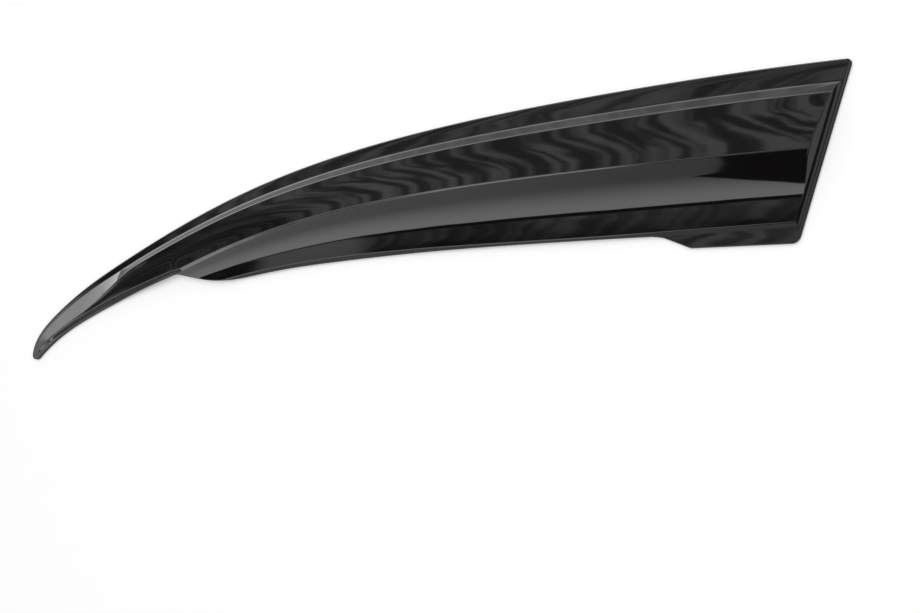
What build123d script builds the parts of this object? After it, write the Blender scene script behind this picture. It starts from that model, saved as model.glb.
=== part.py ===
from build123d import *
import math
import os

os.makedirs("parts", exist_ok=True)

# A stick-on rain deflector for the window of a front door: one thin moulding, taped to the door frame.
# It lies on its back. X runs towards the rear of the car, Y up to the roof and Z out from the glass.
# Sizes are in millimetres and angles in degrees. Plan points are measured from the rear top corner.

# Thicknesses, from the tape's backing upwards
wall = 2.5
tape_thickness = 1.0
liner_thickness = 0.15

# Plan of the top edge, from the rear corner to the tip, and the round end of the tip
top_edge_points = [
    (0, 0),
    (-205, -15.5),
    (-403, -43),
    (-590, -92.4),
    (-747, -163),
    (-838, -221),
    (-865, -262),
]
tip_radius = 7.0
tip_lead = 45.0            # direction of the lower edge where it leaves the tip

# Plan of the lower edge, from the tip to the notch and on to the tab
tip_edge_points = [(-824, -243.2), (-779, -219), (-719, -194.3)]
notch = (-657, -173)
notch_radius = 18.0
free_edge_points = [
    (-607, -178),
    (-545, -169.4),
    (-452, -156.1),
    (-344, -145.5),
    (-227, -137.3),
]

# Tab at the rear end of the lower edge
tab_start = (-139, -132.2)
tab_heel = (-113, -140.9)
tab_start_radius = 30.0
tab_heel_radius = 5.0
end_lean = 12.0            # lean of the rear end from square, towards the tip
height = 136.5             # rear top corner down to the foot of the rear end
corner_radius = 4.0
foot_radius = 7.0

# Raised crown. Each measure is taken square to the top edge, from that edge, and runs from its
# value at the rear end to its value at the tip; the bend says how late along the visor it changes.
section_turn = (-90 - end_lean, -52)   # direction of the sections in plan, at the rear and at the tip
step_crest = (27.8, 10.3, 1.9)
step_run = (10.0, 6.0, 2.0)
step_height = (10.0, 0.0, 4.0)
ridge_line = (71.5, 35.5, 1.35)
ridge_height = (17.0, 0.0, 2.5)
lip_line = (124.4, 27.4, 1.95)
lip_height = 3.6
lip_run = 2.8              # how far the lip's wall leans out towards its edge
ridge_strip = (0.8, 4.8, 2.0)
ridge_drop = (0.5, 3.5, 2.0)
foot_run = 3.0             # the step's foot runs on this far under the flange
foot_sink = 1.2            # and this deep
foot_rise = 0.1            # the step starts this far above the flange

# The tip closes to a spoon with a flat rim: the ridge turns in and drops to the rim
spoon_start = 0.80
spoon_inset = 26.5
spoon_bend = 1.7
rim_start = 0.77
rim_full = 0.90
rim_drop_run = 2.4         # width of the drop from the ridge to the rim
rim_tightening = 0.7       # share of the bend radii that is lost at the rim
tip_close = (0.93, 0.985)  # over this stretch the crown sinks into the flange

# How far parts of the crown that run out under the flange lie below its top, so that no faces coincide
crest_sink = 0.3
ridge_sink = 0.15
band_sink = 1.0
lip_sink = 1.5

# The step fades out at the rear top corner
corner_fade = 0.7
fade_length = 0.025

# Rear wall of the crown
end_strip = 4.5            # flat strip behind the wall's foot
end_draft = 8.0            # lean of the rear wall from upright

# Bend radii of the outer face
step_foot_radius = 4.0
step_crest_radius = 3.5
ridge_radius = 1.2
strip_radius = 2.0
lip_radius = 1.8
inner_radius = 1.0         # bend at the top of the step, inside
soft_share = 0.6           # share of a flat that a soft bend beside it takes up
band_sag = 0.9             # dip of the upper band below a straight line
least_sag = 0.06           # and at the tip
hollow_share = 0.42        # where the lower band flattens, as a share of its width
hollow_level = 0.22        # height left there, as a share of its fall

# Adhesive tape on the back of the flange
tape_margin = 2.0
tape_width = 8.0
narrow_margin = 1.0
narrow_width = 5.0
top_tapes = 4
tape_gap = 6.0
tape_start = 14.0          # along the top edge from the rear corner to the first tape
tape_end = 735.0           # and to the end of the last wide one
tip_tape_end = 885.0
end_tape_clear = 20.0      # clear length at each end of the rear tape
tab_tape_clear = 10.0      # clear length at each end of the tab's tape
strip_steps = 8            # sections that shape each tape along the top edge
liner_overhang = 0.4
flange_rounding = 0.7      # rounding of the flange's upper edges

# Sections of the crown, as shares of the top edge; the first lies past the rear end and is cut off
rear_stations = [-0.016, 0.03, 0.08]
even_stations = [0.15 + 0.08 * step for step in range(9)]
tip_stations = [0.85, 0.90, 0.935, 0.965, tip_close[1]]
stations = rear_stations + even_stations + tip_stations
hollow_end = 0.90          # the hollow behind the crown stops here, short of the tip
drop_start = (0.73, 0.82)  # over this stretch the hollow's roof comes to follow the drop below the ridge
free_start = 0.1           # the free lower edge begins at the first section past this, beside the tab
spoon_edge = 0.885         # and ends here, where the rim begins

flange_back = tape_thickness + liner_thickness
flange_top = flange_back + wall
crown_room = 40.0          # more than the crown's height, for cuts right through


def taper(measure, u):
    """Value at share u of the top edge of a measure given as rear, tip and bend."""
    rear, tip, bend = measure
    return rear + (tip - rear) * max(u, 0) ** bend


def blend(start, end, u):
    """Smooth step from 0 at start to 1 at end."""
    t = min(1, max(0, (u - start) / (end - start)))
    return t * t * (3 - 2 * t)


def direction(angle):
    """Unit vector in plan at an angle from X."""
    return Vector(math.cos(math.radians(angle)), math.sin(math.radians(angle)), 0)


end_direction = direction(-90 - end_lean)
end_foot = end_direction * (height / math.cos(math.radians(end_lean)))
tip_centre = Vector(top_edge_points[-1][0] + tip_radius, top_edge_points[-1][1])
tip_low = tip_centre + direction(tip_lead - 90) * tip_radius

# Outline of the whole visor in plan
with BuildSketch() as outline:
    with BuildLine() as outline_curve:
        top_edge = Spline(*top_edge_points, tangents=[(-1, -0.04), (0, -1)])
        RadiusArc(top_edge @ 1, tip_low, -tip_radius)
        Spline(tip_low, *tip_edge_points, notch, tangents=[direction(tip_lead), (1, 0.34)])
        Spline(notch, *free_edge_points, tab_start, tangents=[(1, -0.12), (1, 0.05)])
        Polyline(tab_start, tab_heel, end_foot, (0, 0))
    make_face()
    for corner, radius in (
        (notch, notch_radius),
        (tab_start, tab_start_radius),
        (tab_heel, tab_heel_radius),
        (end_foot, foot_radius),
        ((0, 0), corner_radius),
    ):
        fillet(outline.vertices().sort_by_distance(Vector(*corner))[0], radius)


def soft_bend(before, corner, after):
    """Radius of a bend that takes up most of the shorter flat beside its corner."""
    first = Vector(*corner) - Vector(*before)
    second = Vector(*after) - Vector(*corner)
    turn = math.radians(first.get_angle(second))
    return soft_share * min(first.length, second.length) / math.tan(turn / 2)


def section_plane(u):
    """Upright plane across the visor at share u of the top edge: local x into the visor, local y up."""
    across = direction(section_turn[0] + (section_turn[1] - section_turn[0]) * max(u, 0))
    on_edge = top_edge @ max(u, 0) - (top_edge % 0) * (top_edge.length * max(-u, 0))
    return Plane(origin=on_edge, x_dir=across, z_dir=(across.Y, -across.X, 0))


def crown_profile(u):
    """Corners and bend radii of the outer face at share u, from the flange to the lip's edge."""
    rim = blend(rim_start, rim_full, u)
    fade = 1 - corner_fade * math.exp(-max(u, 0) / fade_length)
    open_share = 1 - blend(*tip_close, u)
    crest = taper(step_crest, u)
    foot = crest - taper(step_run, u)
    crest_z = flange_top + taper(step_height, u) * fade * open_share - crest_sink * rim
    spoon = max(0, (u - spoon_start) / (1 - spoon_start))
    ridge = taper(ridge_line, u) - spoon_inset * spoon ** spoon_bend
    ridge_z = flange_top + taper(ridge_height, u) * open_share - ridge_sink * rim
    strip = ridge + taper(ridge_strip, u) * (1 - rim) + rim_drop_run * rim
    strip_z = ridge_z - taper(ridge_drop, u)
    strip_z += (flange_top - band_sink - strip_z) * rim
    lip = taper(lip_line, u)
    lip_z = flange_top + lip_height - (lip_height + lip_sink) * rim
    hollow = strip + (lip - strip) * hollow_share
    hollow_z = lip_z + (strip_z - lip_z) * hollow_level
    middle = (crest + ridge) / 2
    middle_z = (crest_z + ridge_z) / 2 - max(band_sag * (1 - rim), least_sag)
    edge_z = flange_top - crest_sink - lip_sink * rim
    corners = [
        (foot - foot_run, flange_top - foot_sink),
        (foot, flange_top + foot_rise - crest_sink * rim),
        (crest, crest_z),
        (middle, middle_z),
        (ridge, ridge_z),
        (strip, strip_z),
        (hollow, hollow_z),
        (lip, lip_z),
        (lip + lip_run, edge_z),
    ]
    tighter = 1 - rim_tightening * rim
    bends = [
        step_foot_radius * tighter,
        step_crest_radius * tighter,
        soft_bend(*corners[2:5]),
        ridge_radius,
        strip_radius * tighter,
        soft_bend(*corners[5:8]),
        lip_radius * tighter,
    ]
    return corners, bends


def draw_crown(u):
    """Face of the filled crown at share u."""
    corners, bends = crown_profile(u)
    edge_x, edge_z = corners[-1]
    with BuildSketch(section_plane(u)) as section:
        with BuildLine():
            FilletPolyline(*corners, radius=bends)
            Polyline(
                corners[-1],
                (edge_x - 4 * wall, edge_z),
                (edge_x - 4 * wall, flange_back),
                (corners[0][0], flange_back),
                corners[0],
            )
        make_face()
    return section.sketch


def inset(corners, depth):
    """Corners of a path that runs at a depth under a path that goes from left to right."""
    lines = []
    for (ax, az), (bx, bz) in zip(corners[:-1], corners[1:]):
        length = math.hypot(bx - ax, bz - az)
        nx, nz = (bz - az) / length, -(bx - ax) / length
        lines.append((ax + nx * depth, az + nz * depth, bx - ax, bz - az))
    meets = []
    for (ax, az, adx, adz), (bx, bz, bdx, bdz) in zip(lines[:-1], lines[1:]):
        along = ((bx - ax) * bdz - (bz - az) * bdx) / (adx * bdz - adz * bdx)
        meets.append((ax + adx * along, az + adz * along))
    return lines, meets


def draw_hollow(u):
    """Face of the space behind the crown at share u, open towards the glass."""
    corners, _ = crown_profile(u)
    foot, crest, middle, ridge, strip, lower, lip, edge = [Vector(*c) for c in corners[1:]]
    # Behind the ridge's strip the inner face runs straight on, and follows the drop only at the spoon
    lower = lower + (strip - lower) * blend(*drop_start, u)
    lines, meets = inset([(p.X, p.Y) for p in (foot, crest, middle, ridge, lower, lip, edge)], wall)
    start, end = (at_level(line, -wall) for line in (lines[0], lines[-1]))
    bends = [inner_radius, soft_bend(*meets[0:3]), 0, soft_bend(*meets[2:5]), 0]
    with BuildSketch(section_plane(u)) as section:
        with BuildLine():
            FilletPolyline(start, *meets, end, radius=bends)
            Line(end, start)
        make_face()
    return section.sketch


def mid_band(u):
    """Plan point in the middle of the upper band at share u."""
    corners, _ = crown_profile(u)
    return section_plane(u).from_local_coords((corners[3][0], 0))


def at_level(line, level):
    """Point where a sloping line of a profile reaches a level."""
    x, z, dx, dz = line
    return (x + dx * (level - z) / dz, level)


# Rear wall of the crown, leaning forwards from a foot that runs along the end strip
rear_out = direction(-end_lean)
rear_normal = rear_out * math.cos(math.radians(end_draft)) + Vector(0, 0, math.sin(math.radians(end_draft)))
rear_wall = Plane(origin=rear_out * -end_strip + Vector(0, 0, flange_top), z_dir=rear_normal)

# Part of the plan where the lower edge hangs free, with no flange under it
free_stations = [u for u in stations if free_start < u < spoon_edge] + [spoon_edge]
with BuildSketch() as free_zone:
    with BuildLine():
        middle_points = [mid_band(u) for u in free_stations]
        Spline(*middle_points)
        Polyline(
            middle_points[-1],
            section_plane(spoon_edge).from_local_coords((height, 0)),
            (middle_points[0].X, -3 * height),
            middle_points[0],
        )
    make_face()

with BuildPart() as hollow:
    for u in [u for u in stations if u <= hollow_end]:
        add(draw_hollow(u))
    loft()
    split(bisect_by=rear_wall.offset(-wall), keep=Keep.BOTTOM)

with BuildPart() as crown:
    for u in stations:
        add(draw_crown(u))
    loft()
    split(bisect_by=rear_wall, keep=Keep.BOTTOM)
    add(outline.sketch)
    extrude(amount=crown_room, mode=Mode.INTERSECT)

with BuildPart() as visor_shell:
    with BuildSketch(Plane.XY.offset(flange_back)):
        add(outline.sketch)
    extrude(amount=wall)
    fillet(visor_shell.edges().group_by(Axis.Z)[-1], flange_rounding)
    with BuildSketch(Plane.XY.offset(flange_back)):
        add(free_zone.sketch)
    extrude(amount=wall, both=True, mode=Mode.SUBTRACT)
    add(crown.part)
    add(hollow.part, mode=Mode.SUBTRACT)

# The part's origin is under the middle of its plan, on the face that is stuck to the door
to_origin = Location(-outline.sketch.bounding_box().center())


def hand_over(piece, name):
    """Set a finished piece in the part's own frame, label it and write its file."""
    placed = piece.part.moved(to_origin)
    placed.label = name
    export_step(placed, f"parts/{name}.step")


def along_top(start, end, near, far):
    """Face between two depths inside the top edge, from one distance along it to another."""
    step = (end - start) / strip_steps
    shares = [(start + step * count) / top_edge.length for count in range(strip_steps + 1)]
    outer = [section_plane(u).from_local_coords((near, 0)) for u in shares]
    inner = [section_plane(u).from_local_coords((far, 0)) for u in shares]
    with BuildSketch() as strip:
        with BuildLine():
            Spline(*outer)
            Line(outer[-1], inner[-1])
            Spline(*inner)
            Line(inner[0], outer[0])
        make_face()
    return strip.sketch


def along_straight(first, last, clear, near, far):
    """Face between two depths inside a straight edge that has the visor on its right, short of both ends."""
    run = last - first
    inward = run.rotate(Axis.Z, -90).normalized()
    middle = (first + last) / 2 + inward * (near + far) / 2
    with BuildSketch(Plane(origin=middle, x_dir=run)) as strip:
        Rectangle(run.length - 2 * clear, far - near)
    return strip.sketch


def lay_tape(name, tape_face, liner_face):
    """A length of foam tape on the back of the flange, and the release liner under it."""
    for piece_name, face, level, thickness in (
        (f"{name}_tape", tape_face, liner_thickness, tape_thickness),
        (f"{name}_liner", liner_face, 0, liner_thickness),
    ):
        with BuildPart() as piece:
            with BuildSketch(Plane.XY.offset(level)):
                add(face)
            extrude(amount=thickness)
        hand_over(piece, piece_name)


def lay_top_tape(name, start, end, near, far):
    """A tape that follows the top edge."""
    over = liner_overhang
    liner_face = along_top(start - over, end + over, near - over, far + over)
    lay_tape(name, along_top(start, end, near, far), liner_face)


def lay_straight_tape(name, first, last, clear):
    """A narrow tape along a straight edge."""
    near = narrow_margin
    far = narrow_margin + narrow_width
    over = liner_overhang
    liner_face = along_straight(first, last, clear - over, near - over, far + over)
    lay_tape(name, along_straight(first, last, clear, near, far), liner_face)


hand_over(visor_shell, "visor_shell")

tape_length = (tape_end - tape_start - (top_tapes - 1) * tape_gap) / top_tapes
for index in range(top_tapes):
    start = tape_start + index * (tape_length + tape_gap)
    lay_top_tape(f"top_{index + 1}", start, start + tape_length, tape_margin, tape_margin + tape_width)
lay_top_tape("tip", tape_end + tape_gap, tip_tape_end, narrow_margin, narrow_margin + narrow_width)
lay_straight_tape("end", Vector(0, 0), end_foot, end_tape_clear)
lay_straight_tape("tab", end_foot, Vector(*tab_heel), tab_tape_clear)
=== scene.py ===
"""Looks of the window rain deflector: its glossy smoked moulding, foam tapes, liners and a plain studio.

Plan sizes are in millimetres, measured from the rear top corner of the visor as the part's source has
them: X towards the rear of the car, Y up to the roof and Z out from the glass. Meshes are in metres.
"""
from __future__ import annotations

import logging
import math
from dataclasses import dataclass, fields
from enum import Enum
from types import SimpleNamespace
from typing import Callable, Sequence

import bmesh
import bpy
import numpy as np
from mathutils import Matrix, Vector

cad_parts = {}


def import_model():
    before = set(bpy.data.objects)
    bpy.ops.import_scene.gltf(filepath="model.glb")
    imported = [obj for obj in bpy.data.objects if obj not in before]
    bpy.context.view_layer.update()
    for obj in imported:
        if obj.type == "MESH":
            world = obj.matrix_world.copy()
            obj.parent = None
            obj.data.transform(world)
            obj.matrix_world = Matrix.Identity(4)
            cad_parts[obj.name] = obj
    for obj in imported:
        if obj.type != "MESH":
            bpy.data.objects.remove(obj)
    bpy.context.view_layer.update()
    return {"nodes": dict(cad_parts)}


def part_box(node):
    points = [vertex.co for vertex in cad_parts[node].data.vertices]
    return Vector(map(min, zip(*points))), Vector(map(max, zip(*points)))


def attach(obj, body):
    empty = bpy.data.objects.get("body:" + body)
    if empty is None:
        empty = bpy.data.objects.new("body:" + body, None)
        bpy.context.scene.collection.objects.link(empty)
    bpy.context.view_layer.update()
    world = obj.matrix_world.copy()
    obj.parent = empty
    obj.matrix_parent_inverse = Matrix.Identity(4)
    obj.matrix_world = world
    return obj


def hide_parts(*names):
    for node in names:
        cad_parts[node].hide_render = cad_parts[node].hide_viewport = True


log = logging.getLogger("visor")
MM = 0.001
Point = tuple[float, float]
Span = tuple[float, float]
Triple = tuple[float, float, float]
Polyline = np.ndarray
Columns = tuple[np.ndarray, np.ndarray]
Node, Socket, Tree = bpy.types.Node, bpy.types.NodeSocket, bpy.types.NodeTree
Material = bpy.types.Material


class Slot(Enum):
    """The record's material slots."""

    ACRYLIC = "smoked_acrylic"
    FOAM = "foam_tape"
    LINER = "release_liner"


NODE_ENDINGS = {Slot.FOAM: "_tape", Slot.LINER: "_liner"}


@dataclass(frozen=True)
class Measure:
    """A size that changes along the visor.

    Args:
        rear: value at the rear end.
        tip: value at the tip.
        bend: how late along the visor it changes.
    """

    rear: float
    tip: float
    bend: float

    def at(self, share: float) -> float:
        """Value at a share of the top edge."""
        return self.rear + (self.tip - self.rear) * share ** self.bend


@dataclass(frozen=True)
class Thickness:
    """Layers of the part, from its back."""

    liner: float = 0.15
    tape: float = 1.0
    wall: float = 2.5

    @property
    def flange_back(self) -> float:
        """Level of the flange's back."""
        return self.liner + self.tape

    @property
    def flange_top(self) -> float:
        """Level of the flange's face."""
        return self.flange_back + self.wall


def heading(angle: float) -> np.ndarray:
    """Unit vector in plan at an angle from X, in degrees."""
    return np.array([math.cos(math.radians(angle)), math.sin(math.radians(angle))])


def show(thing: bpy.types.Object) -> None:
    """Put an object in the scene."""
    bpy.context.scene.collection.objects.link(thing)


def evaluated(thing: bpy.types.Object) -> bpy.types.Mesh:
    """An object's mesh after its modifiers."""
    return bpy.data.meshes.new_from_object(thing.evaluated_get(bpy.context.evaluated_depsgraph_get()))


def smooth_curve(points: Sequence[Point], start: Point, end: Point, spacing: float = 1.0) -> Polyline:
    """A smooth line through points with given directions at its ends.

    Args:
        points: plan points.
        start: direction at the first point.
        end: direction at the last point.
        spacing: rough distance between the points returned.

    Returns:
        Points along the line, one row each.
    """
    knots = np.array(points, dtype=float)
    chords = np.linalg.norm(np.diff(knots, axis=0), axis=1)
    count = len(knots)
    system = np.zeros((count, count))
    sides = np.zeros((count, 2))
    system[0, 0] = system[-1, -1] = 1
    sides[0] = np.array(start) / np.linalg.norm(start)
    sides[-1] = np.array(end) / np.linalg.norm(end)
    for k in range(1, count - 1):
        before, after = chords[k - 1], chords[k]
        system[k, k - 1:k + 2] = after, 2 * (before + after), before
        rise = (knots[k] - knots[k - 1]) / before * after + (knots[k + 1] - knots[k]) / after * before
        sides[k] = 3 * rise
    slopes = np.linalg.solve(system, sides)
    runs = []
    for k, chord in enumerate(chords):
        t = np.linspace(0, 1, max(3, int(chord / spacing)), endpoint=False)[:, None]
        rise = knots[k + 1] - knots[k]
        cube = chord * (slopes[k] + slopes[k + 1]) - 2 * rise
        square = 3 * rise - chord * (2 * slopes[k] + slopes[k + 1])
        runs.append(knots[k] + t * chord * slopes[k] + t ** 2 * square + t ** 3 * cube)
    return np.vstack(runs + [knots[-1:]])


def round_corner(before: Point, corner: Point, after: Point, radius: float, steps: int = 12) -> Polyline:
    """Arc that rounds a corner between two straight runs.

    Args:
        before: a point on the run that comes in.
        corner: the sharp corner.
        after: a point on the run that goes out.
        radius: radius of the arc.
        steps: pieces of the arc.

    Returns:
        Points of the arc.
    """
    corner_at = np.array(corner, dtype=float)
    back = np.array(before, dtype=float) - corner_at
    onward = np.array(after, dtype=float) - corner_at
    back /= np.linalg.norm(back)
    onward /= np.linalg.norm(onward)
    half = math.acos(np.clip(back @ onward, -1, 1)) / 2
    middle = (back + onward) / np.linalg.norm(back + onward)
    centre = corner_at + middle * radius / math.sin(half)
    first = corner_at + back * radius / math.tan(half) - centre
    last = corner_at + onward * radius / math.tan(half) - centre
    turn = math.pi - 2 * half
    shares = np.linspace(0, 1, steps + 1)
    return np.array([
        centre + (first * math.sin((1 - s) * turn) + last * math.sin(s * turn)) / math.sin(turn) for s in shares
    ])


@dataclass(frozen=True)
class Plan:
    """Outline of the visor and the sections that cross it."""

    top_points: tuple[Point, ...] = (
        (0, 0), (-205, -15.5), (-403, -43), (-590, -92.4), (-747, -163), (-838, -221), (-865, -262),
    )
    tip_radius: float = 7.0
    tip_lead: float = 45.0
    tip_edge: tuple[Point, ...] = ((-824, -243.2), (-779, -219), (-719, -194.3))
    notch: Point = (-657, -173)
    notch_radius: float = 18.0
    free_edge: tuple[Point, ...] = ((-607, -178), (-545, -169.4), (-452, -156.1), (-344, -145.5), (-227, -137.3))
    tab_start: Point = (-139, -132.2)
    tab_start_radius: float = 30.0
    tab_heel: Point = (-113, -140.9)
    tab_heel_radius: float = 5.0
    end_lean: float = 12.0
    height: float = 136.5
    corner_radius: float = 4.0
    foot_radius: float = 7.0
    tip_heading: float = -52.0
    top_start: Point = (-1, -0.04)
    top_stop: Point = (0, -1)
    tip_run_stop: Point = (1, 0.34)
    free_start: Point = (1, -0.12)
    free_stop: Point = (1, 0.05)
    tip_arc_points: int = 40
    corner_steps: int = 24
    corner_lead: int = 12
    past_corner: int = 20
    direction_lead: int = 3
    row_spacing: float = 3.0
    tip_spacing: float = 1.5
    tip_stretch: float = 240.0
    tip_rows: int = 14
    tip_arc_rest: float = 0.5
    least_reach: float = 0.3
    end_rows: tuple[float, ...] = (0, 0.06, 0.2, 0.42, 0.75, 1.2, 1.7, 2.1, 2.3, 2.7, 3.1, 3.5, 3.85, 4.1, 4.3, 4.43)
    wall_rows: int = 7
    wall_foot: float = 4.5
    wall_run: float = 2.1
    past_wall: tuple[float, ...] = (0.6, 1.4, 2.6, 4.4)

    @property
    def rear_heading(self) -> float:
        """Direction of the sections at the rear end."""
        return -90 - self.end_lean

    @property
    def turn(self) -> float:
        """How far the sections turn from the rear end to the tip."""
        return self.tip_heading - self.rear_heading

    def section_heading(self, share: float) -> np.ndarray:
        """Unit vector along the section at a share of the top edge."""
        return heading(self.rear_heading + self.turn * share)

    @property
    def end_foot(self) -> np.ndarray:
        """Sharp corner at the foot of the rear end."""
        return heading(self.rear_heading) * self.height / math.cos(math.radians(self.end_lean))

    def top_line(self) -> Polyline:
        """The top edge from the rear corner to the tip."""
        return smooth_curve(self.top_points, self.top_start, self.top_stop)

    def tip_arc(self, angles: Sequence[float]) -> Polyline:
        """Points of the round end of the tip at angles from X, in degrees."""
        centre = np.array(self.top_points[-1]) + (self.tip_radius, 0)
        return np.array([centre + heading(angle) * self.tip_radius for angle in angles])

    def lower_line(self) -> Polyline:
        """The outline from the tip's arc along the lower edge and round the foot of the rear end."""
        arc = self.tip_arc(np.linspace(180, 360 + self.tip_lead - 90, self.tip_arc_points))
        tip_points = (tuple(arc[-1]), *self.tip_edge, self.notch)
        tip_run = smooth_curve(tip_points, tuple(heading(self.tip_lead)), self.tip_run_stop)
        free_run = smooth_curve((self.notch, *self.free_edge, self.tab_start), self.free_start, self.free_stop)
        notch_arc = self.soften(tip_run, free_run, self.notch_radius)
        into_tab = np.array([self.tab_start, self.tab_heel])
        tab_arc = self.soften(free_run, into_tab, self.tab_start_radius)
        heel_arc = round_corner(self.tab_start, self.tab_heel, tuple(self.end_foot), self.tab_heel_radius)
        foot_arc = round_corner(self.tab_heel, tuple(self.end_foot), (0, 0), self.foot_radius, self.corner_steps)
        tip_run = self.outside(tip_run, self.notch, notch_arc)
        free_run = self.outside(self.outside(free_run, self.notch, notch_arc), self.tab_start, tab_arc)
        return np.vstack([arc[:-1], tip_run, notch_arc, free_run, tab_arc, heel_arc, foot_arc])

    def soften(self, first: Polyline, second: Polyline, radius: float) -> Polyline:
        """Arc in the corner where one line ends and the next begins."""
        before = tuple(first[-1 - self.direction_lead])
        after = tuple(second[min(self.direction_lead, len(second) - 1)])
        return round_corner(before, tuple(first[-1]), after, radius)

    @staticmethod
    def outside(line: Polyline, corner: Point, arc: Polyline) -> Polyline:
        """The part of a line that is farther from a corner than the arc that rounds it."""
        room = np.linalg.norm(arc[0] - corner)
        return line[np.linalg.norm(line - corner, axis=1) > room]

    @staticmethod
    def first_hit(origin: np.ndarray, along: np.ndarray, line: Polyline, least: float) -> float | None:
        """Distance, above the least that counts, from a point along a unit vector to a line, or None for a miss."""
        tiny, slack = 1e-12, 1e-6
        start, run = line[:-1] - origin, np.diff(line, axis=0)
        cross = along[0] * run[:, 1] - along[1] * run[:, 0]
        cross = np.where(np.abs(cross) < tiny, tiny, cross)
        reach = (start[:, 0] * run[:, 1] - start[:, 1] * run[:, 0]) / cross
        share = (start[:, 0] * along[1] - start[:, 1] * along[0]) / cross
        hits = reach[(share >= -slack) & (share <= 1 + slack) & (reach > least)]
        return float(hits.min()) if len(hits) else None

    def rear_corner(self) -> Polyline:
        """Arc that rounds the rear top corner."""
        before = tuple(self.top_line()[self.corner_lead])
        return round_corner(before, (0, 0), tuple(self.end_foot), self.corner_radius, self.corner_steps)

    def middle(self) -> np.ndarray:
        """Middle of the box round the whole outline."""
        outline = np.vstack([self.top_line()[self.past_corner:], self.rear_corner(), self.lower_line()])
        return (outline.min(axis=0) + outline.max(axis=0)) / 2

    def places(self, whole: float) -> np.ndarray:
        """Where the sections begin along a top edge of a given length: close at the rear wall, finer to the tip."""
        wall = np.linspace(self.wall_foot, self.wall_foot + self.wall_run, self.wall_rows)
        close = np.array([*self.end_rows, *wall, *(wall[-1] + step for step in self.past_wall)])
        close_along = close / (heading(-self.end_lean) @ -np.array(self.top_start))
        tip_from = whole - self.tip_stretch
        spread = np.linspace(close_along[-1], tip_from, int(tip_from / self.row_spacing))[1:-1]
        fine = np.linspace(tip_from, whole, int(self.tip_stretch / self.tip_spacing))
        return np.concatenate([close_along, spread, fine])

    def rows(self) -> "Rows":
        """Sections of the visor, from the rear end to the tip and round it."""
        line = self.top_line()
        lengths = np.concatenate([[0], np.cumsum(np.linalg.norm(np.diff(line, axis=0), axis=1))])
        places = self.places(lengths[-1])
        origins = np.column_stack([np.interp(places, lengths, line[:, axis]) for axis in (0, 1)])
        half_angle = math.asin(abs(heading(self.tip_heading)[0]))
        round_tip = 180 + np.linspace(0, math.degrees(2 * half_angle) - self.tip_arc_rest, self.tip_rows)[1:]
        origins = np.vstack([origins, self.tip_arc(round_tip)])
        shares = np.concatenate([places / lengths[-1], np.ones(len(round_tip))])
        lower = self.lower_line()
        corner = self.rear_corner()
        near, reach = [], []
        for origin, share in zip(origins, shares):
            along = self.section_heading(share)
            near.append(self.first_hit(origin, along, corner, 0.0) or 0.0)
            reach.append(self.first_hit(origin, along, lower, self.least_reach) or 0.0)
        return Rows(origins, shares, np.array(near), np.array(reach))


@dataclass
class Rows:
    """Sections of the visor.

    Args:
        origins: plan point of each section on the top edge.
        shares: share of the top edge at each.
        near: distance along the section at which the visor begins.
        reach: distance at which its outline ends.
    """

    origins: np.ndarray
    shares: np.ndarray
    near: np.ndarray
    reach: np.ndarray


def sign(operation: str, swapped: bool = False) -> Callable[["Amount", "Amount | float"], "Amount"]:
    """Method that joins an amount and another by a math node, in their order or swapped."""
    def join(first: "Amount", second: "Amount | float") -> "Amount":
        """The joined amount."""
        return first.board.math(operation, *((second, first) if swapped else (first, second)))
    return join


class Amount:
    """A number that nodes work out at every point, written with the usual signs of arithmetic."""

    def __init__(self, board: "Board", socket: Socket) -> None:
        """Keep the output socket that gives the number."""
        self.board = board
        self.socket = socket

    __add__ = __radd__ = sign("ADD")
    __sub__, __rsub__ = sign("SUBTRACT"), sign("SUBTRACT", swapped=True)
    __mul__ = __rmul__ = sign("MULTIPLY")
    __truediv__, __pow__ = sign("DIVIDE"), sign("POWER")


class Board:
    """A node tree that is being laid out."""

    def __init__(self, tree: Tree) -> None:
        """Keep the tree."""
        self.tree = tree

    def node(self, kind: str, **settings: object) -> Node:
        """Add a node.

        Args:
            kind: its type.
            settings: its properties; a name that starts with in_ sets or links the input of that name.

        Returns:
            The node.
        """
        node = self.tree.nodes.new(kind)
        sockets = {}
        for name, value in settings.items():
            if name.startswith("in_"):
                sockets[name[3:].replace("_", " ").strip()] = value
            else:
                setattr(node, name, value)
        for name, value in sockets.items():
            self.feed(node.inputs[name], value)
        return node

    def feed(self, socket: Socket, value: object) -> None:
        """Link an output or an amount to an input, or set the input to a plain value."""
        if isinstance(value, Amount):
            value = value.socket
        if isinstance(value, Socket):
            self.tree.links.new(value, socket)
        else:
            socket.default_value = value

    def math(self, operation: str, *values: "Amount | float") -> Amount:
        """Amount that a math node works out from others."""
        node = self.tree.nodes.new("ShaderNodeMath")
        node.operation = operation
        for socket, value in zip(node.inputs, values):
            self.feed(socket, value)
        return Amount(self, node.outputs[0])

    def smooth_step(self, value: Amount, start: float, end: float) -> Amount:
        """Amount that rises smoothly from 0 at start to 1 at end."""
        node = self.node("ShaderNodeMapRange", interpolation_type="SMOOTHSTEP")
        for name, setting in (("Value", value), ("From Min", start), ("From Max", end)):
            self.feed(node.inputs[name], setting)
        return Amount(self, node.outputs[0])

    def choose(self, index: Amount, options: Sequence["Amount | float"]) -> Amount:
        """The option whose place in the list is given by an index."""
        node = self.node("GeometryNodeIndexSwitch", data_type="FLOAT")
        while len(node.index_switch_items) < len(options):
            node.index_switch_items.new()
        self.feed(node.inputs[0], index)
        for place, option in enumerate(options):
            self.feed(node.inputs[place + 1], option)
        return Amount(self, node.outputs[0])


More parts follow.
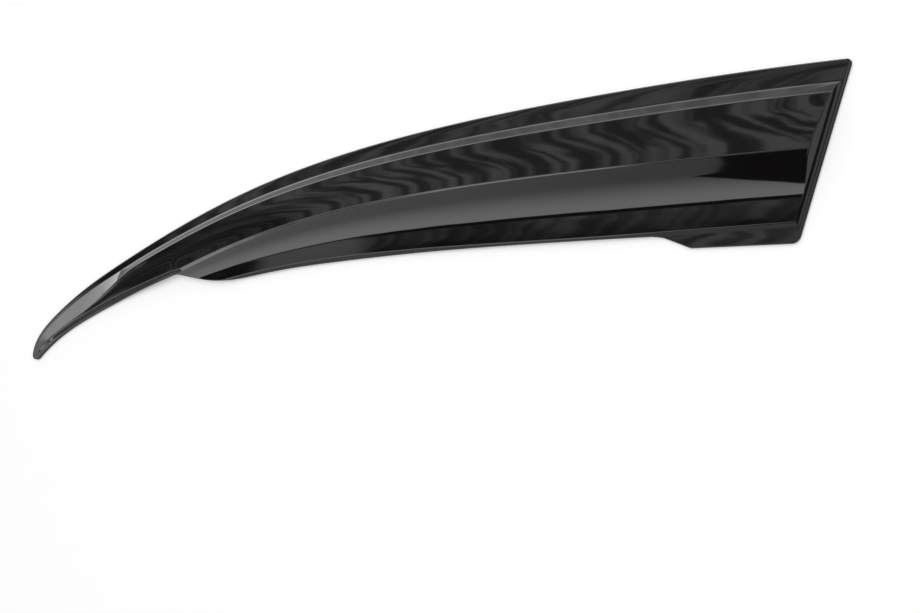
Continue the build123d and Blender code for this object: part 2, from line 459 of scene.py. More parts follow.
@dataclass(frozen=True)
class CrownLaws:
    """Laws of the raised crown, each square to the top edge."""

    layers: Thickness = Thickness()
    step_crest: Measure = Measure(27.8, 10.3, 1.9)
    step_run: Measure = Measure(10.0, 6.0, 2.0)
    step_height: Measure = Measure(10.0, 0.0, 4.0)
    ridge_line: Measure = Measure(71.5, 35.5, 1.35)
    ridge_height: Measure = Measure(16.98, 0.0, 2.5)
    lip_line: Measure = Measure(124.4, 27.4, 1.95)
    ridge_strip: Measure = Measure(0.8, 4.8, 2.0)
    ridge_drop: Measure = Measure(0.5, 3.5, 2.0)
    lip_height: float = 3.6
    lip_run: float = 2.8
    edge_dip: float = 0.3
    hem_run: float = 0.5
    hem_drop: float = 0.6
    spoon_start: float = 0.80
    spoon_inset: float = 26.5
    spoon_bend: float = 1.7
    rim: Span = (0.77, 0.90)
    rim_drop_run: float = 2.4
    rim_tightening: float = 0.7
    tip_close: Span = (0.95, 0.999)
    ramp: Span = (0.80, 0.905)
    ramp_share: float = 0.8
    shoulder: float = 3.6
    shoulder_blend: float = 5.0
    least_band: float = 1.0
    corner_fade: float = 0.3
    fade_length: float = 0.025
    step_foot_radius: float = 4.0
    step_crest_radius: float = 3.5
    ridge_radius: float = 1.2
    strip_radius: float = 2.0
    lip_radius: float = 1.8
    sharp_radius: float = 0.1
    soft_share: float = 0.6
    least_turn: float = 0.0005
    band_sag: float = 0.9
    hollow_share: float = 0.42
    hollow_level: float = 0.22
    beyond: float = 40.0
    arc_steps: int = 8
    cuts: int = 1


class CrownSheet:
    """Geometry Nodes tree that sweeps the crown's section along the top edge."""

    ROW_SHARE = "share"
    ROW_REACH = "reach"
    CORNERS = 11

    def __init__(self, laws: CrownLaws, plan: Plan) -> None:
        """Keep the laws and the plan."""
        self.laws = laws
        self.plan = plan

    def inputs(self, kind: type) -> dict[str, Measure | float]:
        """Laws of a kind by their names, which are also those of the tree's inputs."""
        laws = {field.name: getattr(self.laws, field.name) for field in fields(self.laws)}
        return {name: law for name, law in laws.items() if type(law) is kind}

    def tree(self, material: Material) -> tuple[Tree, dict[str, str]]:
        """Lay out the tree.

        Args:
            material: finish of the sheet.

        Returns:
            The tree, and each input's identifier by its name.
        """
        tree = bpy.data.node_groups.new("crown_sheet", "GeometryNodeTree")
        names = self.add_sockets(tree)
        board = Board(tree)
        curves = self.curves(board, board.node("NodeGroupInput"))
        sheet = self.sheet(board, curves)
        real = board.node("GeometryNodeRealizeInstances", in_Geometry=sheet)
        dressed = board.node("GeometryNodeSetMaterial", in_Geometry=real.outputs[0], in_Material=material)
        board.node("NodeGroupOutput", in_Geometry=dressed.outputs[0])
        return tree, names

    def add_sockets(self, tree: Tree) -> dict[str, str]:
        """Give the tree its inputs and its output, and return each input's identifier by its name."""
        face = tree.interface
        face.new_socket("Geometry", in_out="INPUT", socket_type="NodeSocketGeometry")
        names = {}
        for kind, socket_type in ((Measure, "NodeSocketVector"), (float, "NodeSocketFloat")):
            for name in self.inputs(kind):
                names[name] = face.new_socket(name, in_out="INPUT", socket_type=socket_type).identifier
        face.new_socket("Geometry", in_out="OUTPUT", socket_type="NodeSocketGeometry")
        return names

    def curves(self, board: Board, given: Node) -> Socket:
        """One curve for each row, bent to the crown's section and all with the same number of points."""
        rows = given.outputs["Geometry"]
        line = board.node("GeometryNodeCurvePrimitiveLine")
        string = board.node("GeometryNodeResampleCurve", in_Curve=line.outputs[0], in_Count=self.CORNERS)
        points = board.node("GeometryNodeMeshToPoints", in_Mesh=rows)
        laid = board.node("GeometryNodeInstanceOnPoints", in_Points=points.outputs[0], in_Instance=string.outputs[0])
        strings = board.node("GeometryNodeRealizeInstances", in_Geometry=laid.outputs[0])
        index = Amount(board, board.node("GeometryNodeInputIndex").outputs[0])
        row = board.math("FLOOR", (index + 0.5) / self.CORNERS)
        u, reach = (Amount(board, self.sampled(board, rows, row, name)) for name in (self.ROW_SHARE, self.ROW_REACH))
        across, level, radius = self.section(board, given, u, reach, index - row * self.CORNERS)
        angle = board.math("RADIANS", self.plan.rear_heading + u * self.plan.turn)
        offset = board.node(
            "ShaderNodeCombineXYZ", in_X=board.math("COSINE", angle) * across * MM,
            in_Y=board.math("SINE", angle) * across * MM, in_Z=level * MM,
        )
        place = board.node("ShaderNodeVectorMath", operation="ADD")
        board.feed(place.inputs[0], self.sampled(board, rows, row))
        board.feed(place.inputs[1], offset.outputs[0])
        bent = board.node("GeometryNodeSetPosition", in_Geometry=strings.outputs[0], in_Position=place.outputs[0])
        rounded = board.node(
            "GeometryNodeFilletCurve", in_Curve=bent.outputs[0], in_Radius=radius * MM, in_Limit_Radius=True,
            mode="POLY", in_Count=self.laws.arc_steps,
        )
        return board.node("GeometryNodeSubdivideCurve", in_Curve=rounded.outputs[0], in_Cuts=self.laws.cuts).outputs[0]

    def sheet(self, board: Board, curves: Socket) -> Socket:
        """A grid of faces through the points of the curves."""
        count = board.node("GeometryNodeAttributeDomainSize", component="CURVE", in_Geometry=curves)
        splines = Amount(board, count.outputs["Spline Count"])
        columns = Amount(board, count.outputs["Point Count"]) / splines
        grid = board.node("GeometryNodeMeshGrid", in_Vertices_X=splines, in_Vertices_Y=columns)
        found = self.sampled(board, curves, Amount(board, board.node("GeometryNodeInputIndex").outputs[0]))
        return board.node("GeometryNodeSetPosition", in_Geometry=grid.outputs[0], in_Position=found).outputs[0]

    @staticmethod
    def sampled(board: Board, geometry: Socket, index: Amount, name: str | None = None) -> Socket:
        """A named value, or else the place, of the point of a geometry that has an index."""
        if name:
            value = board.node("GeometryNodeInputNamedAttribute", data_type="FLOAT", in_Name=name)
        else:
            value = board.node("GeometryNodeInputPosition")
        return board.node("GeometryNodeSampleIndex", data_type="FLOAT" if name else "FLOAT_VECTOR", in_Index=index,
                          in_Geometry=geometry, in_Value=value.outputs[0]).outputs[0]

    def sizes_at(self, board: Board, given: Node, u: Amount) -> SimpleNamespace:
        """Every size of the section at share u of the top edge, by its law's name."""
        found = {name: Amount(board, given.outputs[name]) for name in self.inputs(float)}
        for name in self.inputs(Measure):
            parts = board.node("ShaderNodeSeparateXYZ", in_Vector=given.outputs[name])
            rear, tip, bend = (Amount(board, output) for output in parts.outputs)
            found[name] = rear + (tip - rear) * u ** bend
        return SimpleNamespace(**found)

    def section(self, board: Board, given: Node, u: Amount, reach: Amount, corner: Amount) -> tuple[Amount, ...]:
        """Corners of the section at share u of the top edge.

        Args:
            board: the tree.
            given: its input node.
            u: share of the top edge.
            reach: distance from the top edge to the lower one.
            corner: which corner is asked for.

        Returns:
            Distance from the top edge, level and bend radius at that corner.
        """
        at = self.sizes_at(board, given, u)
        rim = board.smooth_step(u, *self.laws.rim)
        fade = 1 - board.math("EXPONENT", u / (0.0 - at.fade_length)) * at.corner_fade
        open_share = 1 - board.smooth_step(u, *self.laws.tip_close)
        ramp = board.smooth_step(u, *self.laws.ramp) * at.ramp_share
        top = self.laws.layers.flange_top
        crest, foot = at.step_crest, at.step_crest - at.step_run
        crest_z = top + at.step_height * fade * open_share
        spoon = board.math("MAXIMUM", (u - at.spoon_start) / (1 - at.spoon_start), 0.0)
        ridge = at.ridge_line - at.spoon_inset * spoon ** at.spoon_bend
        ridge = board.math("SMOOTH_MIN", ridge, reach - at.shoulder, at.shoulder_blend)
        ridge = board.math("MAXIMUM", ridge, crest + at.least_band)
        ridge_z = top + at.ridge_height * open_share
        crest = crest + (ridge - crest) * ramp
        crest_z = crest_z + (ridge_z - crest_z) * ramp
        strip = ridge + at.ridge_strip * (1 - rim) + at.rim_drop_run * rim
        strip_z = ridge_z - at.ridge_drop
        strip_z = strip_z + (top - strip_z) * rim
        lip, lip_z = at.lip_line, top + at.lip_height * (1 - rim)
        hollow = strip + (lip - strip) * at.hollow_share
        hollow_z = lip_z + (strip_z - lip_z) * at.hollow_level
        middle = (crest + ridge) / 2
        middle_z = (crest_z + ridge_z) / 2 - at.band_sag * (1 - rim)
        edge, edge_z = lip + at.lip_run, lip_z - at.lip_height - at.edge_dip
        hem_z = edge_z - at.hem_drop
        across = [0.0, foot, crest, middle, ridge, strip, hollow, lip, edge, edge + at.hem_run, edge + at.beyond]
        level = [top, top, crest_z, middle_z, ridge_z, strip_z, hollow_z, lip_z, edge_z, hem_z, hem_z]

        def soft_bend(place: int) -> Amount:
            """Radius that makes one soft curve of the two runs that meet at a corner."""
            first, second = across[place] - across[place - 1], across[place + 1] - across[place]
            bend = (level[place] - level[place - 1]) / first - (level[place + 1] - level[place]) / second
            half = board.math("MINIMUM", first, second)
            return half * (at.soft_share * 2.0) / (board.math("ABSOLUTE", bend) + at.least_turn)

        tight = 1 - rim * at.rim_tightening
        radius = [
            at.sharp_radius, at.step_foot_radius * tight, at.step_crest_radius * tight, soft_bend(across.index(middle)),
            at.ridge_radius, at.strip_radius * tight, soft_bend(across.index(hollow)), at.lip_radius * tight,
            *[at.sharp_radius] * 3,
        ]
        return board.choose(corner, across), board.choose(corner, level), board.choose(corner, radius)

    def make(self, rows: Rows, material: Material) -> np.ndarray:
        """Run the tree over the sections.

        Args:
            rows: the sections.
            material: finish of the sheet.

        Returns:
            Points of the sheet in metres, as rows, columns and coordinates.
        """
        mesh = bpy.data.meshes.new("crown_rows")
        mesh.from_pydata([(x * MM, y * MM, 0) for x, y in rows.origins], [], [])
        for name, values in ((self.ROW_SHARE, rows.shares), (self.ROW_REACH, rows.reach)):
            mesh.attributes.new(name, "FLOAT", "POINT").data.foreach_set("value", values)
        carrier = bpy.data.objects.new("crown_rows", mesh)
        show(carrier)
        tree, names = self.tree(material)
        modifier = carrier.modifiers.new("crown", "NODES")
        modifier.node_group = tree
        for name, measure in self.inputs(Measure).items():
            modifier[names[name]] = (measure.rear, measure.tip, measure.bend)
        for name, value in self.inputs(float).items():
            modifier[names[name]] = value
        result = evaluated(carrier)
        points = np.empty(len(result.vertices) * 3)
        result.vertices.foreach_get("co", points)
        carrier.modifiers.remove(modifier)
        bpy.data.objects.remove(carrier)
        bpy.data.meshes.remove(result)
        return points.reshape(len(rows.shares), -1, 3)


@dataclass
class VisorShell:
    """The one-piece smoked moulding."""

    plan: Plan
    laws: CrownLaws
    shift: tuple[float, float]
    edge_rounding: float = 2.0
    cut_rounding: float = 0.6
    arc_columns: int = 6
    free_shares: Span = (0.146, 0.885)
    rim_share: float = 0.8
    lip_lift: float = 0.3
    hollow_end: float = 0.90
    rear_draft: float = 8.0
    foot_bend: float = 2.2
    inner_step: int = 2
    slope_run: float = 0.4
    least_slope: float = 0.5
    least_room: float = 2.0
    sharp_angle: float = 38.0
    shading_weight: int = 60
    merge_distance: float = 2e-6
    least_edge: float = 1e-6

    def build(self, material: Material) -> bpy.types.Object:
        """Build the moulding.

        Args:
            material: its finish.

        Returns:
            The finished object, in place.
        """
        rows = self.plan.rows()
        sheet = CrownSheet(self.laws, self.plan).make(rows, material) / MM
        log.info("crown sheet: %d rows of %d points", sheet.shape[0], sheet.shape[1])
        outer, inner = [], []
        thickness = self.upright_thickness(sheet)
        for index in range(len(rows.shares)):
            face, back = self.row_loop(rows, index, sheet[index], thickness[index])
            outer.append(face)
            inner.append(back)
        return self.join(self.fit_rear_wall(np.array(outer)), np.array(inner), material)

    def fit_rear_wall(self, face: np.ndarray) -> np.ndarray:
        """The points of the face by row, with the rear wall's rows drawn straight up from its foot to the crown."""
        first = len(self.plan.end_rows)
        last = first + self.plan.wall_rows - 1
        foot, beyond = face[first], face[last]
        rise = np.maximum(beyond[:, 2] - foot[:, 2], 0)
        share = rise * math.tan(math.radians(self.rear_draft)) / self.plan.wall_run
        crest = foot + (beyond - foot) * share[:, None]
        crest[:, 2] = np.maximum(beyond[:, 2], foot[:, 2])
        for row, part in zip(range(first, last), np.linspace(0, 1, last - first)):
            face[row] = foot + (crest - foot) * part
        return face

    def upright_thickness(self, sheet: np.ndarray) -> np.ndarray:
        """Thickness of the wall measured upright, at each point of the sheet."""
        along_rows = np.gradient(sheet, axis=1)
        along_columns = np.gradient(sheet, axis=0)
        normal = np.cross(along_rows, along_columns)
        lengths = np.linalg.norm(normal, axis=2)
        slope = np.abs(normal[..., 2]) / np.where(lengths == 0, 1, lengths)
        return self.laws.layers.wall / np.clip(np.where(lengths == 0, 1, slope), self.least_slope, 1)

    def row_loop(self, rows: Rows, index: int, points: np.ndarray, thickness: np.ndarray) -> Columns:
        """Face and back of one section, cut to the outline, with rounded edges.

        Args:
            rows: the sections.
            index: which one.
            points: its line on the sheet.
            thickness: upright thickness at each of these points.

        Returns:
            Points of the face and of the back, both from the top edge to the lower one.
        """
        layers, laws = self.laws.layers, self.laws
        origin, share = rows.origins[index], rows.shares[index]
        near, reach = rows.near[index], rows.reach[index]
        along = self.plan.section_heading(share)
        free = self.free_shares[0] < share < self.free_shares[1]
        across = np.maximum.accumulate(np.linalg.norm(points[:, :2] - origin, axis=1))
        level = points[:, 2]
        if free:
            reach = min(reach, laws.lip_line.at(share) + laws.lip_run)
        if not free or share > self.rim_share:
            level = np.maximum(level, layers.flange_top)
        face_x, face_z = self.face_line(across, level, near, reach)
        face = self.place(origin, along, face_x, face_z)
        face[:, 2] = self.under_rear_wall(face)
        back_x = self.clip(across[::self.inner_step], near, reach)
        back_x[0], back_x[-1] = near, reach
        floor = self.floor_of_back(back_x, share) if free else np.full_like(back_x, layers.flange_back)
        back_z = np.interp(back_x, across, level) - np.interp(back_x, across, thickness)
        back_z = np.maximum(back_z, floor) if share < self.hollow_end else floor
        back_z = np.minimum(back_z, np.interp(back_x, face_x, face[:, 2]))
        back = self.place(origin, along, back_x, back_z)
        back[:, 2] = np.maximum(self.inside_rear_wall(back), np.minimum(floor, back_z))
        return face, back

    def face_line(self, across: np.ndarray, level: np.ndarray, near: float, reach: float) -> Columns:
        """Distances and levels of a section's face from near to reach, with both edges rounded."""
        room = max(reach - near, 0.0)
        top_round = min(self.edge_rounding, room / 2)
        low_round = min(self.cut_rounding, room / 2)
        start, stop = near + top_round, reach - low_round
        middle = self.clip(across, start, stop)
        face_z = np.interp(middle, across, level)
        slope = 0.0
        if room > self.least_room:
            slope = (face_z[-1] - np.interp(stop - self.slope_run, across, level)) / self.slope_run
        quarter = np.linspace(0, math.pi / 2, self.arc_columns + 1)
        top_x = start - top_round * np.cos(quarter[:-1])
        top_z = self.laws.layers.flange_top - top_round * (1 - np.sin(quarter[:-1]))
        low_x = stop + low_round * np.sin(quarter[1:])
        low_z = face_z[-1] + slope * (low_x - stop) - low_round * (1 - np.cos(quarter[1:]))
        return np.concatenate([top_x, middle, low_x]), np.concatenate([top_z, face_z, low_z])

    def floor_of_back(self, across: np.ndarray, share: float) -> np.ndarray:
        """Lowest levels of the back where the lower edge is free: higher below the band, except at the tip."""
        layers, laws = self.laws.layers, self.laws
        half = (laws.step_crest.at(share) + laws.ridge_line.at(share)) / 2
        closing = np.clip((share - self.rim_share) / (self.free_shares[1] - self.rim_share), 0, 1)
        lifted = layers.flange_top - self.lip_lift - (layers.wall - self.lip_lift) * closing
        return np.where(across > half, lifted, layers.flange_back)

    @staticmethod
    def clip(values: np.ndarray, low: float, high: float) -> np.ndarray:
        """Values held between two limits."""
        return np.clip(values, low, max(low, high))

    def from_wall_foot(self, points: np.ndarray) -> np.ndarray:
        """How far points lie in front of the rear wall's foot."""
        return -(points[:, :2] @ heading(-self.plan.end_lean)) - self.plan.wall_foot

    def inside_rear_wall(self, points: np.ndarray) -> np.ndarray:
        """Levels of the back's points, held under the inner side of the leaning rear wall."""
        layers, draft = self.laws.layers, math.radians(self.rear_draft)
        inside = self.from_wall_foot(points) - layers.wall / math.cos(draft)
        return np.minimum(points[:, 2], np.maximum(layers.flange_top + inside / math.tan(draft), layers.flange_back))

    def under_rear_wall(self, points: np.ndarray) -> np.ndarray:
        """Levels of the face's points, held under the leaning rear wall, its bent foot and the rounded rear edge."""
        top = self.laws.layers.flange_top
        distance = self.from_wall_foot(points)
        bent = self.arc_rise(self.foot_bend, np.clip(distance + self.foot_bend, 0, self.foot_bend))
        wall = top + bent + np.maximum(distance, 0) / math.tan(math.radians(self.rear_draft))
        held = np.minimum(points[:, 2], wall)
        from_edge = np.clip(distance + self.plan.wall_foot, 0, self.edge_rounding)
        drop = self.arc_rise(self.edge_rounding, self.edge_rounding - from_edge)
        return np.maximum(held - drop, np.minimum(held, top - self.edge_rounding))

    @staticmethod
    def arc_rise(radius: float, run: np.ndarray) -> np.ndarray:
        """Rise of a quarter circle at a run from its flat end."""
        return radius - np.sqrt(np.maximum(radius ** 2 - run ** 2, 0))

    @staticmethod
    def place(origin: np.ndarray, along: np.ndarray, across: np.ndarray, level: np.ndarray) -> np.ndarray:
        """Points at distances across a section and at levels."""
        plan = origin + across[:, None] * along
        return np.column_stack([plan, level])

    def join(self, outer: np.ndarray, inner: np.ndarray, material: Material) -> bpy.types.Object:
        """Close the points of the face and of the back, by row, into one solid with a finish."""
        loops = np.concatenate([outer, inner[:, ::-1]], axis=1)
        count, width = loops.shape[:2]
        points = loops.reshape(-1, 3) + (*self.shift, 0)
        quads = []
        for row in range(count - 1):
            base = row * width
            for column in range(width):
                beside = (column + 1) % width
                quads.append((base + column, base + width + column, base + width + beside, base + beside))
        quads.append(tuple(range(width)))
        quads.append(tuple(reversed(range((count - 1) * width, count * width))))
        mesh = bpy.data.meshes.new("visor_moulding")
        mesh.from_pydata((points * MM).tolist(), [], quads)
        self.clean(mesh)
        mesh.shade_smooth()
        mesh.set_sharp_from_angle(angle=math.radians(self.sharp_angle))
        mesh.materials.append(material)
        moulding = bpy.data.objects.new("visor_moulding", mesh)
        show(moulding)
        self.even_shading(moulding)
        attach(moulding, "root")
        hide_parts("visor_shell")
        return moulding

    def clean(self, mesh: bpy.types.Mesh) -> None:
        """Merge the points that meet and turn the faces outwards."""
        work = bmesh.new()
        work.from_mesh(mesh)
        bmesh.ops.remove_doubles(work, verts=work.verts, dist=self.merge_distance)
        bmesh.ops.dissolve_degenerate(work, dist=self.least_edge, edges=work.edges)
        if work.calc_volume(signed=True) < 0:
            bmesh.ops.reverse_faces(work, faces=work.faces)
        log.info("moulding: %d faces, %.1f ml", len(work.faces), work.calc_volume() * 1e6)
        log.info("open edges: %d", sum(1 for edge in work.edges if not edge.is_manifold))
        work.to_mesh(mesh)
        work.free()

    def even_shading(self, moulding: bpy.types.Object) -> None:
        """Weigh the shading by the size of the faces."""
        weighted = moulding.modifiers.new("even shading", "WEIGHTED_NORMAL")
        weighted.keep_sharp = True
        weighted.weight = self.shading_weight
        smooth = evaluated(moulding)
        moulding.modifiers.remove(weighted)
        moulding.data = smooth
        smooth.name = "visor_moulding"


@dataclass(frozen=True)
class Finish:
    """A surface finish.

    Args:
        name: name of the material.
        colour: base colour.
        roughness: its roughness.
    """

    name: str
    colour: Triple
    roughness: float

    def start(self) -> tuple[Material, Board, Node]:
        """A new material with the plain values, its node board and its shader."""
        material = bpy.data.materials.new(self.name)
        material.use_nodes = True
        shader = material.node_tree.nodes["Principled BSDF"]
        board = Board(material.node_tree)
        board.feed(shader.inputs["Base Color"], (*self.colour, 1))
        board.feed(shader.inputs["Roughness"], self.roughness)
        return material, board, shader

    @staticmethod
    def coordinates(board: Board, scale: Triple = (1, 1, 1)) -> Socket:
        """The piece's own coordinates, scaled for a pattern."""
        source = board.node("ShaderNodeTexCoord")
        mapping = board.node("ShaderNodeMapping", in_Vector=source.outputs["Object"], in_Scale=scale)
        return mapping.outputs[0]

    @staticmethod
    def emboss(board: Board, shader: Node, height: Socket, depth: float, strength: float) -> None:
        """Give a shader the relief of a pattern."""
        bump = board.node("ShaderNodeBump", in_Height=height, in_Distance=depth, in_Strength=strength)
        board.feed(shader.inputs["Normal"], bump.outputs[0])


@dataclass(frozen=True)
class SmokedAcrylic(Finish):
    """Glossy near-black acrylic with the slight waviness of a moulding."""

    refraction: float = 1.49
    wave_scale: Triple = (9, 26, 9)
    wave_depth: float = 0.0002
    haze_scale: Triple = (60, 60, 60)
    haze: float = 0.02

    def material(self) -> Material:
        """Make the material."""
        material, board, shader = self.start()
        board.feed(shader.inputs["IOR"], self.refraction)
        waves = board.node("ShaderNodeTexNoise", in_Vector=self.coordinates(board, self.wave_scale), in_Scale=1.0,
                           in_Detail=2.0, in_Roughness=0.4)
        self.emboss(board, shader, waves.outputs[0], self.wave_depth, 1.0)
        dust = board.node("ShaderNodeTexNoise", in_Vector=self.coordinates(board, self.haze_scale), in_Detail=4.0)
        haze = board.node("ShaderNodeMapRange", in_Value=dust.outputs[0], in_To_Min=self.roughness,
                          in_To_Max=self.roughness + self.haze)
        board.feed(shader.inputs["Roughness"], haze.outputs[0])
        return material


@dataclass(frozen=True)
class Embossed(Finish):
    """A plain surface with a fine relief.

    Args:
        pattern: kind of the node that draws the relief.
        scale: how fine it is.
        depth: its depth in metres.
        strength: how much of it shows.
    """

    pattern: str = "ShaderNodeTexVoronoi"
    scale: float = 2200.0
    depth: float = 0.0002
    strength: float = 0.6

    def material(self) -> Material:
        """Make the material."""
        material, board, shader = self.start()
        relief = board.node(self.pattern, in_Vector=self.coordinates(board), in_Scale=self.scale)
        if self.pattern == "ShaderNodeTexWave":
            relief.bands_direction = "DIAGONAL"
        self.emboss(board, shader, relief.outputs[0], self.depth, self.strength)
        return material


class Axis(Enum):
    """Ways to measure the direction of a mirrored ray."""

    X = "towards the rear of the car"
    Y = "up to the roof"
    Z = "out from the glass"
    SLANT = "across the slanting end of the card"
    TONGUE = "across the side of the card's tongue"


X, Y, Z, SLANT, TONGUE = Axis


@dataclass(frozen=True)
class Patch:
    """A part of the room with soft edges.

    Args:
        strength: its brightness.
        edges: for each edge, the axis that crosses it, where the patch begins and where it is full.
    """

    strength: float
    edges: tuple[tuple[Axis, float, float], ...]

    def seen(self, board: Board, direction: dict[Axis, Amount]) -> Amount:
        """Brightness of the patch in a direction."""
        level: Amount | float = self.strength
        for axis, begins, full in self.edges:
            level = board.smooth_step(direction[axis], begins, full) * level
        return level


@dataclass(frozen=True)
class Streaks:
    """Soft uneven streaks of light.

    Args:
        bend: how strongly they bend along X.
        power: power of X that bends them.
        tilt: how close they lie to each other along Y.
        along_x: how fast they change along X.
        along_y: how fast they change along Y.
    """

    bend: float
    power: int
    tilt: float
    along_x: float
    along_y: float
    contrast: Span = (0.42, 0.62)
    levels: Span = (0.22, 1.25)

    def seen(self, board: Board, direction: dict[Axis, Amount]) -> Amount:
        """Brightness of the streaks in a direction."""
        x, y = direction[X], direction[Y]
        bent = x
        for _ in range(self.power - 1):
            bent = bent * x
        place = board.node("ShaderNodeCombineXYZ", in_X=bent * self.bend + y * self.tilt,
                           in_Y=x * self.along_x + y * self.along_y, in_Z=0.0)
        noise = board.node("ShaderNodeTexNoise", in_Vector=place.outputs[0], in_Scale=1.0, in_Detail=3.0,
                           in_Roughness=0.5, in_Distortion=0.5)
        level = board.node("ShaderNodeMapRange", in_Value=noise.outputs[0], interpolation_type="SMOOTHSTEP",
                           in_From_Min=self.contrast[0], in_From_Max=self.contrast[1],
                           in_To_Min=self.levels[0], in_To_Max=self.levels[1])
        return Amount(board, level.outputs[0])


@dataclass(frozen=True)
class MirroredRoom:
    """The room as the gloss mirrors it: streaks and windows above, a bright card in front of the lower band."""

    band_streaks: Streaks = Streaks(-118.0, 3, 16.0, 0.0, 6.0)
    flange_streaks: Streaks = Streaks(190.0, 2, 210.0, 5.0, 3.2)
    on_flange: Patch = Patch(1.0, ((X, -0.68, -0.62), (Y, 0.33, 0.305)))
    near_streaks: Patch = Patch(0.72, ((X, -0.76, -0.69),))
    far_streaks: float = 0.28
    above: Patch = Patch(1.0, ((Y, -0.005, 0.028),))
    edge_light: Patch = Patch(1.0, ((Y, 0.24, 0.32), (Z, -0.02, 0.02), (Z, 0.51, 0.46), (X, -0.20, -0.28)))
    edge_light_gain: Patch = Patch(1.2, ((X, -0.64, -0.80),))
    edge_light_base: float = 2.6
    window: Patch = Patch(3.3, ((X, -0.83, -0.86), (Y, 0.03, 0.09), (Y, 0.42, 0.36), (Z, 0.16, 0.26)))
    tip_window: Patch = Patch(1.8, ((X, -0.74, -0.765), (Y, 0.085, 0.06), (Z, 0.48, 0.54)))
    near_lip: Patch = Patch(1.2, ((X, -0.60, -0.62), (X, -0.668, -0.655), (Y, -0.04, -0.02), (Y, 0.085, 0.06)))
    behind_rear: Patch = Patch(0.9, ((X, 0.05, 0.2),))
    lip_light: Patch = Patch(4.2, ((X, -0.37, -0.41), (Y, -0.57, -0.60), (Z, 0.50, 0.53)))
    underneath: Patch = Patch(0.5, ((Y, -0.60, -0.66),))
    card: Patch = Patch(1.0, ((Y, -0.045, -0.06), (X, -0.80, -0.72)))
    card_fall: Patch = Patch(3.3, ((Y, -0.72, -0.10),))
    card_base: float = 0.3
    card_end: Patch = Patch(1.0, ((SLANT, 1.05, 1.07),))
    card_slant: float = 4.3
    card_tongue: Patch = Patch(1.0, ((TONGUE, -0.6145, -0.6185),))
    tongue_slant: float = 0.5
    darkest: float = 0.03

    def level(self, board: Board) -> Amount:
        """Brightness of the room in the direction of a ray."""
        axes = board.node("ShaderNodeSeparateXYZ", in_Vector=board.node("ShaderNodeTexCoord").outputs["Generated"])
        x, y, z = (Amount(board, axes.outputs[name]) for name in "XYZ")
        direction = {X: x, Y: y, Z: z, SLANT: y - x * self.card_slant, TONGUE: x + y * self.tongue_slant}

        def seen(part: Patch | Streaks) -> Amount:
            """Brightness of a part of the room."""
            return part.seen(board, direction)

        streaks = seen(self.band_streaks)
        streaks = streaks + (seen(self.flange_streaks) - streaks) * seen(self.on_flange)
        streaks = streaks * (seen(self.near_streaks) + self.far_streaks)
        edge_light = seen(self.edge_light) * (seen(self.edge_light_gain) + self.edge_light_base)
        high = streaks + board.math("MAXIMUM", seen(self.window), edge_light)
        card = seen(self.card) * (seen(self.card_fall) + self.card_base)
        card = card * board.math("MAXIMUM", seen(self.card_end), seen(self.card_tongue))
        others = (self.tip_window, self.near_lip, self.behind_rear, self.lip_light, self.underneath)
        return high * seen(self.above) + card + sum(seen(patch) for patch in others) + self.darkest


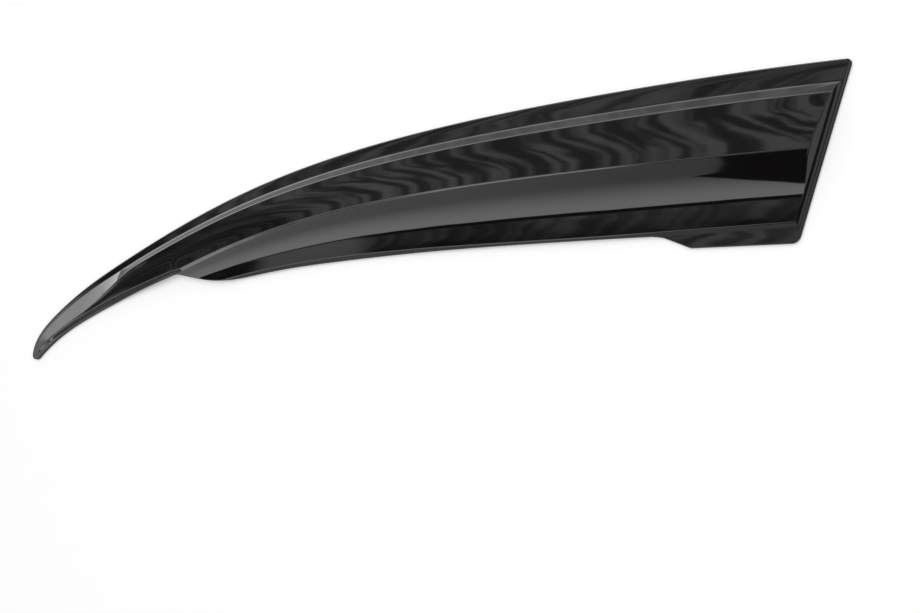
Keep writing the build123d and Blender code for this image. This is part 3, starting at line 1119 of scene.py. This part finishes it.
@dataclass
class Studio:
    """Plain pale floor with painted shade on its far part that only the gloss mirrors, soft light and the camera."""

    camera_at: Triple = (0.7329, -0.16834, 0.9030)
    right: Triple = (0.8257, 0.1096, -0.5533)
    up: Triple = (-0.0344, 0.9888, 0.1446)
    back: Triple = (0.5630, -0.1003, 0.8203)
    lens: float = 50.87
    sensor: float = 36.0
    far_clip: float = 50.0
    floor_size: float = 12.0
    floor_drop: float = 0.0001
    floor_roughness: float = 0.9
    floor_tone: float = 0.85
    floor_glow: float = 0.35
    # Painted shade: past these X bounds, in metres, glossy rays see the floor darker by the amount below.
    mirrored_floor: Span = (0.40, 0.46)
    mirrored_floor_painted_shade: float = 0.3
    diffuse_level: float = 0.55
    lamp_at: Triple = (0.2, 0.3, 2.2)
    lamp_size: float = 2.0
    lamp_power: float = 22.0
    room: MirroredRoom = MirroredRoom()

    def camera(self) -> None:
        """Set up the camera."""
        data = bpy.data.cameras.new("camera")
        data.lens = self.lens
        data.sensor_width = self.sensor
        data.sensor_fit = "HORIZONTAL"
        data.clip_end = self.far_clip
        camera = bpy.data.objects.new("camera", data)
        show(camera)
        turn = Matrix((self.right, self.up, self.back)).transposed()
        camera.matrix_world = Matrix.Translation(self.camera_at) @ turn.to_4x4()
        bpy.context.scene.camera = camera

    def floor(self) -> None:
        """Lay the floor, with painted shade past X 0.40–0.46 m that only glossy rays see."""
        bpy.ops.mesh.primitive_plane_add(size=self.floor_size, location=(0, 0, -self.floor_drop))
        floor = bpy.context.object
        floor.name = "floor"
        material = bpy.data.materials.new("pale_floor")
        material.use_nodes = True
        board = Board(material.node_tree)
        shader = material.node_tree.nodes["Principled BSDF"]
        shader.inputs["Roughness"].default_value = self.floor_roughness
        path = board.node("ShaderNodeLightPath")
        spot = board.node("ShaderNodeSeparateXYZ", in_Vector=board.node("ShaderNodeTexCoord").outputs["Object"])
        # Painted shade: the floor's colour is darker only for glossy rays, past X 0.40–0.46 m, so the gloss mirrors a
        # darker floor there.
        behind = board.smooth_step(Amount(board, spot.outputs["X"]), *self.mirrored_floor)
        painted_shade = Amount(board, path.outputs["Is Glossy Ray"]) * behind * self.mirrored_floor_painted_shade
        pale = self.floor_tone - painted_shade
        tone = board.node("ShaderNodeCombineColor", in_Red=pale, in_Green=pale, in_Blue=pale)
        board.feed(shader.inputs["Base Color"], tone.outputs[0])
        shader.inputs["Emission Color"].default_value = (1, 1, 1, 1)
        board.feed(shader.inputs["Emission Strength"], Amount(board, path.outputs["Is Camera Ray"]) * self.floor_glow)
        floor.data.materials.append(material)

    def world(self) -> None:
        """Light the room evenly, with what the gloss mirrors kept apart from what the camera sees."""
        world = bpy.data.worlds.new("room")
        bpy.context.scene.world = world
        world.use_nodes = True
        world.node_tree.nodes.clear()
        board = Board(world.node_tree)
        path = board.node("ShaderNodeLightPath")
        camera_ray = Amount(board, path.outputs["Is Camera Ray"])
        glossy_ray = Amount(board, path.outputs["Is Glossy Ray"])
        level = glossy_ray * self.room.level(board) + (1 - glossy_ray) * self.diffuse_level
        background = board.node("ShaderNodeBackground", in_Strength=camera_ray + (1 - camera_ray) * level)
        board.node("ShaderNodeOutputWorld", in_Surface=background.outputs[0])

    def lamp(self) -> None:
        """Hang a soft lamp overhead that the gloss doesn't mirror."""
        data = bpy.data.lights.new("overhead", "AREA")
        data.size = self.lamp_size
        data.energy = self.lamp_power
        lamp = bpy.data.objects.new("overhead", data)
        show(lamp)
        lamp.location = self.lamp_at
        lamp.rotation_euler = (-Vector(self.lamp_at)).to_track_quat("-Z", "Y").to_euler()
        lamp.visible_glossy = False

    def set_up(self) -> None:
        """Set up the whole studio."""
        self.camera()
        self.floor()
        self.world()
        self.lamp()
        bpy.context.scene.view_settings.view_transform = "Standard"


def dress(frame: dict, slot: Slot, finish: Material) -> None:
    """Give a finish to every CAD node of a slot."""
    for name, node in frame["nodes"].items():
        if name.endswith(NODE_ENDINGS[slot]):
            node.data.materials.clear()
            node.data.materials.append(finish)
            log.info("dressed %s", name)


def main() -> None:
    """Build and dress every piece."""
    logging.basicConfig(level=logging.INFO, format="%(name)s: %(message)s")
    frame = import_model()
    plan, laws = Plan(), CrownLaws()
    acrylic = SmokedAcrylic("smoked_acrylic", colour=(0.0046, 0.0038, 0.0042), roughness=0.022).material()
    foam = Embossed("foam", colour=(0.03, 0.03, 0.032), roughness=0.85).material()
    film = Embossed("liner_film", colour=(0.55, 0.06, 0.05), roughness=0.32, pattern="ShaderNodeTexWave", scale=700.0,
                    depth=0.00005, strength=0.5).material()
    low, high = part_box("visor_shell")
    middle = plan.middle()
    shift = tuple(((low[axis] + high[axis]) / 2 / MM - middle[axis]) for axis in (0, 1))
    log.info("plan shift %.3f, %.3f mm", *shift)
    VisorShell(plan, laws, shift).build(acrylic)
    dress(frame, Slot.FOAM, foam)
    dress(frame, Slot.LINER, film)
    Studio().set_up()


if __name__ == "__main__":
    main()
